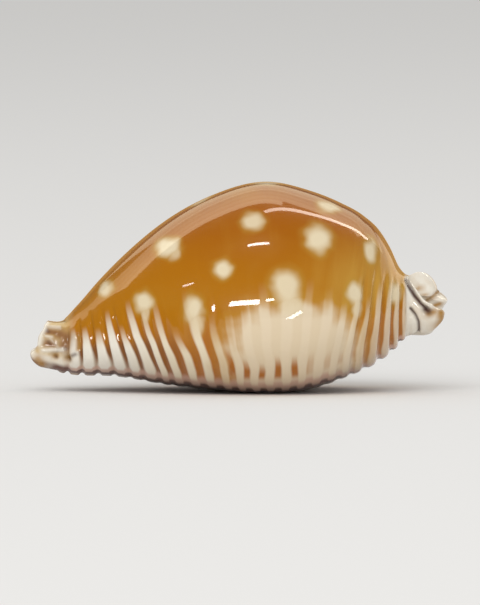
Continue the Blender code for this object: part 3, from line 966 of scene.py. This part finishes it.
@dataclass(frozen=True)
class PorcelainFinish:
    """The glossy, spotted skin of the shell.

    The colours are linear, stations and heights are in millimetres, and places go round the side.
    A noise gives its scale, detail, distortion and turn, and a range where a change starts and ends.

    Attributes:
        margin: Place at which the side turns into the base.
        rib_top: Place at which the pale ribs end.
        rear_rib_top: The same at the rear.
        softness: Half width of the edge of a pale rib, as a share of its wave.
        crest_spread: How much the ends of the pale ribs differ.
        groove_spread: How much the ends of the grooves differ.
        tip_spread: How much the ends of the grooves' dark remnants differ.
        taper: How suddenly a pale rib narrows towards its end.
        narrowest: How far up its wave it has narrowed there.
        skirt_depth: How much higher the bands by the margin reach in a groove than on a rib.
        rear_skirt: How much higher they reach at the rear.
        mist: How strong the haze round the cream cloud is.
        coat: Weight of the clear gloss over the colours.
        coat_bending: Refractive index of that gloss.
        cloud_noise: Where the back is redder or more like honey.
        swirl_noise: What bends the edges of the spots and of the cloud.
        streak_noise: What runs along the growth lines.
        drift_noise: What makes the painted ribs stray.
        mottle_noise: What mottles the canals.
        gloss_noise: What makes the gloss a little uneven.
        swirl: How far the spots are bent.
        drift: How far the painted ribs stray, as a share of the pitch.
        streak_stretch: How fine the streaks are across and along the ribs, and how the sides differ.
        cloud_centre: Station and height of the middle of the cream cloud.
        cloud_size: Half its length and height.
        cloud_power: How square it is.
        front_white: Stations between which the crests turn white.
        front_dark: Stations between which the grooves turn dark low on the side.
        rear_cream: Stations between which the crests turn duller.
        faint_remnants: Stations between which the grooves' remnants grow faint.
        blush_band: Places between which the blush of the base comes in.
        under_shade_band: Places between which the painted shade below it comes in, in dark mauve where the
            side turns under.
        base_band: Places between which the colours of the base come in.
        hidden: Places between which the colour of the inside comes in.
    """

    amber: Colour = (0.430, 0.160, 0.002)
    deep_amber: Colour = (0.350, 0.098, 0.002)
    honey: Colour = (0.450, 0.200, 0.018)
    haze: Colour = (0.540, 0.300, 0.050)
    halo: Colour = (0.470, 0.290, 0.050)
    spot: Colour = (0.745, 0.630, 0.430)
    cream: Colour = (0.790, 0.690, 0.510)
    cloud: Colour = (0.750, 0.620, 0.440)
    rear_crest: Colour = (0.640, 0.460, 0.290)
    white: Colour = (0.830, 0.780, 0.680)
    rust: Colour = (0.410, 0.125, 0.001)
    dark_rust: Colour = (0.170, 0.048, 0.004)
    blush: Colour = (0.620, 0.380, 0.280)
    # Painted shade: a dark mauve for where the side and the front canal turn under; the mauve hue is the
    # base's own tint, its darkness is painted shade.
    mauve_shade: Colour = (0.150, 0.060, 0.040)
    under_crest: Colour = (0.560, 0.410, 0.310)
    under_groove: Colour = (0.200, 0.080, 0.040)
    umber: Colour = (0.085, 0.040, 0.028)
    ochre: Colour = (0.420, 0.215, 0.045)
    tan: Colour = (0.290, 0.140, 0.055)
    lobe: Colour = (0.770, 0.690, 0.570)
    neck: Colour = (0.600, 0.390, 0.130)
    tip: Colour = (0.600, 0.430, 0.230)
    inner: Colour = (0.640, 0.520, 0.470)
    margin: float = 0.23
    rib_top: float = 0.54
    rear_rib_top: float = 0.62
    softness: float = 0.25
    crest_spread: float = 0.14
    groove_spread: float = 0.12
    tip_spread: float = 0.06
    taper: float = 1.4
    narrowest: float = 0.78
    skirt_depth: float = 0.030
    rear_skirt: float = 0.11
    mist: float = 0.45
    roughness: float = 0.30
    specular: float = 0.08
    coat: float = 1.0
    coat_bending: float = 1.4
    coat_roughness: float = 0.03
    bump_strength: float = 0.25
    bump_height: float = 0.00012
    cloud_noise: Noise = (0.09, 3.0, 0.4, 1.0)
    swirl_noise: Noise = (0.50, 0.6, 0.0, 2.0)
    streak_noise: Noise = (1.0, 3.0, 0.0, 4.0)
    drift_noise: Noise = (0.22, 0.5, 0.0, 9.0)
    mottle_noise: Noise = (0.55, 3.0, 0.3, 6.0)
    gloss_noise: Noise = (0.40, 2.0, 0.0, 8.0)
    swirl: float = 1.3
    drift: float = 0.35
    streak_stretch: Triple = (1.6, 3.0, 5.0)
    cloud_centre: Pair = (7.6, 6.0)
    cloud_size: Pair = (9.4, 7.2)
    cloud_power: float = 2.4
    front_white: Pair = (-8.0, -18.0)
    front_dark: Pair = (-4.0, -14.0)
    rear_cream: Pair = (14.0, 20.0)
    faint_remnants: Pair = (8.6, 10.2)
    blush_band: Pair = (0.215, 0.165)
    under_shade_band: Pair = (0.145, 0.105)
    base_band: Pair = (0.080, 0.020)
    hidden: Pair = (-0.55, -1.0)

    def spots(self, bench: Bench, where: Signal) -> list[Signal]:
        """Lay all spots, with one group that finds how much of a spot reaches a place.

        Args:
            bench: Bench of the material.
            where: Place in millimetres, already swirled a little.

        Returns:
            The mask of the spots and the wider one of their halos.
        """
        origin = (0.0, 0.0, 0.0)
        inputs = {"Place": origin, "Centre": origin, "Size": (1.0, 1.0, 1.0), "Strength": 1.0}
        group, given = new_group("pale_spot", inputs, ("Spot", "Halo"))
        away = group.vector("SUBTRACT", given["Place"], given["Centre"])
        distance = group.vector("LENGTH", group.vector("DIVIDE", away, given["Size"]))["Value"]
        group.node("NodeGroupOutput", {"Spot": distance.rise(1.50, 0.50) * given["Strength"],
                                       "Halo": distance.rise(1.95, 0.95) * given["Strength"]})
        masks: list[Feed] = [0.0, 0.0]
        for spot in SPOTS:
            feeds = {"Place": where, "Centre": spot.centre, "Size": spot.size, "Strength": spot.strength}
            made = bench.node("ShaderNodeGroup", feeds, node_tree=group.tree)
            masks = [bench.math("MAXIMUM", made[index], mask) for index, mask in enumerate(masks)]
        return masks

    def rib_group(self) -> bpy.types.NodeTree:
        """Group that paints the ribs: where a crest is pale and where a groove is dark.

        Returns:
            The group, with a mask for the crests, one for the grooves on the side, one for the
            short dark remnants of grooves by the margin, and one for all grooves.
        """
        inputs = {"Number": 0.0, "Around": 0.0, "Side": 1.0, "Top": self.rib_top, "Foot": 0.40, "Tip": 0.32}
        bench, given = new_group("rib_paint", inputs, ("Crest", "Groove", "Remnant", "Furrow"))
        around, top, foot = given["Around"], given["Top"], given["Foot"]
        crest_number = bench.math("ROUND", given["Number"])
        groove_number = bench.math("FLOOR", given["Number"])
        wave = bench.math("COSINE", given["Number"] * (2 * math.pi)) * 0.5 + 0.5

        end = self.chance(crest_number, given["Side"], self.crest_spread, top)
        climb = bench.math("DIVIDE", around - self.margin, end - self.margin, clamp=True)
        edge = foot + climb ** self.taper * (self.narrowest - foot)
        crest = wave.rise(edge - self.softness, edge + self.softness) * climb.rise(0.50, 1.0, 1.0, 0.0)

        furrow = wave.rise(0.75, 0.25)
        start = self.chance(groove_number, given["Side"], self.groove_spread, top)
        groove = furrow * around.rise(start, start - 0.20)

        tip = self.chance(groove_number, given["Side"], self.tip_spread, given["Tip"])
        tongue = around.rise(tip + 0.04, tip - 0.04) * around.rise(0.215, 0.265)
        remnant = tongue * wave.rise(around.rise(0.28, tip + 0.03, 0.62, 0.30), 0.10)
        masks = {"Crest": crest, "Groove": groove, "Remnant": remnant, "Furrow": furrow}
        bench.node("NodeGroupOutput", masks)
        return bench.tree

    @staticmethod
    def chance(number: Signal, side: Signal, spread: float, middle: Signal) -> Signal:
        """Draw a value for each rib or groove.

        Args:
            number: Whole number of the rib or groove.
            side: Side of the slit that it is on.
            spread: Width of the range.
            middle: Middle of the range.

        Returns:
            The value.
        """
        key = side * 31.0 + (number + 100.5)
        drawn = number.bench.node("ShaderNodeTexWhiteNoise", {"W": key}, noise_dimensions="1D")
        return (drawn["Value"] - 0.5) * spread + middle

    def dorsum(self, bench: Bench, where: Signal, x: Signal, z: Signal, streaks: Signal) -> Signal:
        """Amber ground of the back, redder on top, with honey clouds and a hazy rear.

        Args:
            bench: Bench of the material.
            where: Place in millimetres.
            x: Station in millimetres.
            z: Height in millimetres.
            streaks: Noise along the growth lines.

        Returns:
            The colour.
        """
        cloud = bench.noise(where, *self.cloud_noise)
        rear = x.rise(5.0, 19.0) * z.rise(24.5, 16.0)
        hazy = bench.math("MULTIPLY", rear, streaks * 1.5 - 0.05, clamp=True)
        return bench.paint(self.amber, ((z + (cloud * 10.0 - 5.0)).rise(13.0, 27.0), self.deep_amber),
                           (cloud.rise(0.45, 0.80, 0.0, 0.6), self.honey), (hazy, self.haze),
                           (streaks.rise(0.52, 0.85, 0.0, 0.35), self.honey))

    def cream_cloud(self, x: Signal, z: Signal, ripple: Signal, streaks: Signal,
                    furrow: Signal) -> tuple[Signal, Signal]:
        """Cream cloud low on both sides, where the ribs run together.

        Args:
            x: Station in millimetres.
            z: Height in millimetres.
            ripple: Noise that ruffles its edge.
            streaks: Noise along the growth lines, which draws its edge out in fingers.
            furrow: Mask of the grooves, which it reaches less far into.

        Returns:
            The mask of the cloud and that of the haze round it.
        """
        along, up = (abs((place - centre) / size) ** self.cloud_power
                     for place, centre, size in zip((x, z), self.cloud_centre, self.cloud_size))
        far = along + up + (ripple - 0.5) * 0.7 + (streaks - 0.5) * -0.6 + furrow * 0.20
        return far.rise(1.50, 0.62), far.rise(2.20, 1.10)

    def canals(self, bench: Bench, where: Signal, canal: Signal, around: Signal) -> Signal:
        """Colour of the two canals: white lobes at the rear, a yellower tip at the front.

        Args:
            bench: Bench of the material.
            where: Place in millimetres.
            canal: 1 on the rear canal, -1 on the front canal.
            around: Place round the side.

        Returns:
            The colour.
        """
        mottle = bench.noise(where, *self.mottle_noise)
        # Painted shade: the underside of the front canal is darkened to mauve, stopping short of the inside.
        below = around.rise(0.25, 0.14) * around.rise(-0.60, -0.20)
        rear = bench.paint(self.lobe, (mottle.rise(0.35, 0.65), self.white))
        front = bench.paint(self.tip, (mottle.rise(0.35, 0.70), self.cream),
                            (around.rise(0.36, 0.28) * 0.8, self.white),
                            (around.rise(0.45, 0.62) * 0.85, self.neck),
                            (below * mottle.rise(0.30, 0.55, 0.55, 1.0), self.mauve_shade))
        return bench.paint(front, (canal.rise(-0.5, 0.5), rear))

    def build(self) -> bpy.types.Material:
        """Make the material.

        Returns:
            The finished material.
        """
        material = bpy.data.materials.new("spotted_porcelain")
        material.use_nodes = True
        bench = Bench(material.node_tree)
        where = bench.scaled(bench.node("ShaderNodeTexCoord")["Object"], 1 / MM)
        x = bench.node("ShaderNodeSeparateXYZ", {0: where})
        number, around, side, canal, ribbed = (
            bench.attribute(name) for name in ("rib_number", "around", "side", "canal", "ribbed"))

        ripple = bench.noise(where, *self.swirl_noise)
        push = bench.vector("SUBTRACT", ripple["Color"], (0.5, 0.5, 0.5))
        spots, halos = self.spots(bench, bench.vector("MULTIPLY_ADD", push, (self.swirl,) * 3, where))
        strip = {axis: value * stretch for axis, (value, stretch)
                 in enumerate(zip((number, around, side), self.streak_stretch))}
        streaks = bench.noise(bench.node("ShaderNodeCombineXYZ", strip), *self.streak_noise)

        stray = (bench.noise(where, *self.drift_noise) - 0.5) * self.drift
        ribs = bench.node("ShaderNodeGroup", {
            "Number": stray + number, "Around": around, "Side": side,
            "Top": x.rise(10.0, 22.0, self.rib_top, self.rear_rib_top) + x.rise(-8.0, -16.0, 0.0, 0.05),
            "Foot": x.rise(-19.0, -6.0, 0.09, 0.50),
            "Tip": x.rise(-3.0, 6.0, 0.38, 0.315)}, node_tree=self.rib_group())
        crest = ribs["Crest"] * ribbed
        furrow = ribs["Furrow"]
        cloud, mist = self.cream_cloud(x, x["Z"], ripple, streaks, furrow)
        clouded = bench.paint(self.cloud, (furrow * 0.10, self.halo))
        remnant = ribs["Remnant"] * x.rise(*self.faint_remnants, 1.0, 0.30) * cloud.rise(0.0, 0.5)
        dark = x.rise(*self.front_dark) * around.rise(0.54, 0.40)
        rust = bench.paint(self.rust, (dark, self.dark_rust))
        skirt = furrow * -self.skirt_depth + around + x.rise(11.0, 19.0, 0.0, self.rear_skirt)
        base = bench.paint(self.under_crest, (furrow, self.under_groove))
        colour = bench.paint(
            self.dorsum(bench, where, x, x["Z"], streaks),
            (ribs["Groove"] * ribbed * 0.85, rust), (halos * 0.6, self.halo), (crest, self.cream),
            (crest * x.rise(*self.front_white), self.white),
            (crest * x.rise(*self.rear_cream, 0.0, 0.8), self.rear_crest),
            (mist * self.mist, self.haze), (cloud, clouded), (spots, self.spot), (remnant, self.rust),
            # Painted shade: the dark mauve band where the side turns under; the blush above it is the base's
            # own tint.
            (skirt.rise(*self.blush_band) * 0.85, self.blush), (skirt.rise(*self.under_shade_band), self.mauve_shade),
            (skirt.rise(*self.base_band), base),
            (abs(canal), self.canals(bench, where, canal, around)),
            (around.rise(*self.hidden) * (1.0 - abs(canal)), self.inner),
            *((bench.attribute(mark.value), getattr(self, mark.value)) for mark in PAINTED))

        waves = bench.noise(where, *self.gloss_noise)
        bump = bench.node("ShaderNodeBump", {"Strength": self.bump_strength, "Distance": self.bump_height,
                                             "Height": waves})
        shader = bench.node("ShaderNodeBsdfPrincipled", {
            "Base Color": colour, "Normal": bump, "Roughness": self.roughness,
            "Specular IOR Level": self.specular, "Coat Weight": self.coat,
            "Coat Roughness": self.coat_roughness, "Coat IOR": self.coat_bending})
        bench.node("ShaderNodeOutputMaterial", {"Surface": shader})
        return material


PANEL_TINT = (1.0, 0.92, 0.68)


@dataclass(frozen=True)
class SoftBox:
    """A rectangular studio light, aimed at the shell.

    Attributes:
        name: What it is for.
        azimuth: Degrees round the shell, 0 at the camera's side and 90 to the right.
        elevation: Degrees above the floor.
        size: Width and height in metres.
        brightness: Radiance of its face.
        tint: Colour of its light.
        distance: Metres from the shell.
        roll: Degrees that it is turned about its own aim.
        mirrored: Whether glossy surfaces show it.
        lights_up: Whether it lights what is matt; the others only show in the gloss.
        target: Place that it is aimed at.
    """

    name: str
    azimuth: float
    elevation: float
    size: Pair
    brightness: float
    tint: Colour = (1.0, 1.0, 1.0)
    distance: float = 1.0
    roll: float = 0.0
    mirrored: bool = True
    lights_up: bool = False
    target: Triple = (0.0, 0.0, 0.015)

    def build(self) -> None:
        """Hang the light."""
        light = bpy.data.lights.new(self.name, "AREA")
        light.shape = "RECTANGLE"
        light.size, light.size_y = self.size
        light.color = self.tint
        light.energy = self.brightness * self.size[0] * self.size[1] * math.pi
        lamp = bpy.data.objects.new(self.name, light)
        turn = math.radians(self.azimuth)
        rise = math.radians(self.elevation)
        way = Vector((math.sin(turn) * math.cos(rise), -math.cos(turn) * math.cos(rise), math.sin(rise)))
        lamp.location = Vector(self.target) + way * self.distance
        aim = (-way).to_track_quat("-Z", "Y").to_matrix()
        lamp.rotation_euler = (aim @ Matrix.Rotation(math.radians(self.roll), 3, "Z")).to_euler()
        lamp.visible_glossy = self.mirrored
        lamp.visible_diffuse = self.lights_up
        bpy.context.scene.collection.objects.link(lamp)


def back_panel(rights: tuple[float, ...] = (0.8, 0.8, 0.8, 0.15), left: float = -1.6, first: float = 44.5,
               step: float = 7.0, brightness: float = 1.1, growth: float = 1.38) -> tuple[SoftBox, ...]:
    """List the strips of the wide panel behind the shell, brighter towards its top.

    Args:
        rights: Stations in metres where the strips end at the right, from the lowest up.
        left: Station in metres where they all start.
        first: Elevation of the lowest one in degrees.
        step: Degrees from one to the next.
        brightness: Radiance of the lowest one.
        growth: How much brighter each next one is.

    Returns:
        The strips, from the lowest up.
    """
    height = 2 * math.tan(math.radians(step / 2))
    return tuple(SoftBox(f"back_panel_{index + 1}", 180.0, first + step * index, (right - left, height),
                         brightness * growth ** index, PANEL_TINT,
                         target=((left + right) / 2, 0.0, 0.015))
                 for index, right in enumerate(rights))


@dataclass(frozen=True)
class Studio:
    """Plain pale floor, soft light and the camera at the photograph's viewing angle."""

    camera_distance: float = 1.2
    camera_elevation: float = 2.5
    frame_height: float = 0.08706
    target: Triple = (0.0001, 0.0, 0.0127)
    sensor: float = 36.0
    floor_size: float = 60.0
    floor_colour: Colour = (0.80, 0.79, 0.77)
    backdrop: Colour = (0.62, 0.61, 0.60)
    room_light: float = 0.72
    mirrored_room: float = 0.06
    lights: tuple[SoftBox, ...] = (
        *back_panel(),
        SoftBox("lower_back_panel", 180.0, 33.5, (1.5, 0.30), 1.15, PANEL_TINT, target=(0.15, 0.0, 0.015)),
        SoftBox("right_back_panel", 132.0, 10.0, (0.75, 0.40), 0.9, (1.0, 0.88, 0.72)),
        SoftBox("horizon_glow", 180.0, 7.0, (3.2, 0.40), 0.45, (1.0, 0.52, 0.10)),
        SoftBox("right_streak", 138.0, 60.0, (0.070, 1.0), 9.0, (1.0, 0.92, 0.82), roll=-18.0),
        SoftBox("upper_bar", -18.0, 63.0, (0.24, 0.04), 32.0, roll=15.0),
        SoftBox("middle_bar", -14.0, 13.5, (0.20, 0.07), 38.0),
        SoftBox("small_glint", -2.0, 15.0, (0.06, 0.035), 34.0, roll=10.0),
        SoftBox("low_bar", 13.0, 1.0, (0.32, 0.05), 20.0, roll=28.0),
        SoftBox("left_glint", -50.0, 31.5, (0.12, 0.025), 20.0, roll=20.0),
        SoftBox("front_fill", -12.0, 42.0, (3.6, 2.6), 2.1, distance=3.5, mirrored=False, lights_up=True))

    def floor(self) -> None:
        """Lay the floor."""
        half = self.floor_size / 2
        mesh = bpy.data.meshes.new("floor")
        mesh.from_pydata([(-half, -half, 0), (half, -half, 0), (half, half, 0), (-half, half, 0)], [],
                         [(0, 1, 2, 3)])
        floor = bpy.data.objects.new("floor", mesh)
        bpy.context.scene.collection.objects.link(floor)
        material = bpy.data.materials.new("pale_floor")
        material.use_nodes = True
        shader = material.node_tree.nodes["Principled BSDF"]
        shader.inputs["Base Color"].default_value = (*self.floor_colour, 1.0)
        shader.inputs["Roughness"].default_value = 1.0
        shader.inputs["Specular IOR Level"].default_value = 0.0
        mesh.materials.append(material)

    def room(self) -> None:
        """Fill the room with soft light, pale to the camera and dim in the shell's gloss."""
        world = bpy.data.worlds.new("room")
        bpy.context.scene.world = world
        world.use_nodes = True
        bench = Bench(world.node_tree)
        path = bench.node("ShaderNodeLightPath")
        seen = bench.paint((self.room_light,) * 3, (path["Is Glossy Ray"], (self.mirrored_room,) * 3),
                           (path["Is Camera Ray"], self.backdrop))
        light = bench.node("ShaderNodeBackground", {"Color": seen})
        bench.node("ShaderNodeOutputWorld", {"Surface": light})

    def camera(self) -> None:
        """Set up the camera."""
        camera = bpy.data.cameras.new("camera")
        camera.sensor_width = self.sensor
        camera.lens = self.sensor * self.camera_distance / self.frame_height
        camera.clip_start = 0.01
        camera.clip_end = 100.0
        view = bpy.data.objects.new("camera", camera)
        tilt = math.radians(self.camera_elevation)
        back = Vector((0.0, -math.cos(tilt), math.sin(tilt)))
        view.location = Vector(self.target) + back * self.camera_distance
        view.rotation_euler = (-back).to_track_quat("-Z", "Y").to_euler()
        bpy.context.scene.collection.objects.link(view)
        bpy.context.scene.camera = view

    def build(self) -> None:
        """Set up the whole studio."""
        bpy.context.scene.view_settings.view_transform = "Standard"
        self.floor()
        self.room()
        for light in self.lights:
            light.build()
        self.camera()


def main() -> None:
    """Build the shell and its studio, and note the sizes."""
    logging.basicConfig(level=logging.INFO, format="%(name)s: %(message)s")
    skin = ShellSkin(ShellForm()).build()
    RibRelief().raise_on(skin, PorcelainFinish().build())
    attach(skin, "root")
    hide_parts("shell")
    Studio().build()
    LOG.info("shell: %d triangles", sum(len(face.vertices) - 2 for face in skin.data.polygons))


if __name__ == "__main__":
    main()
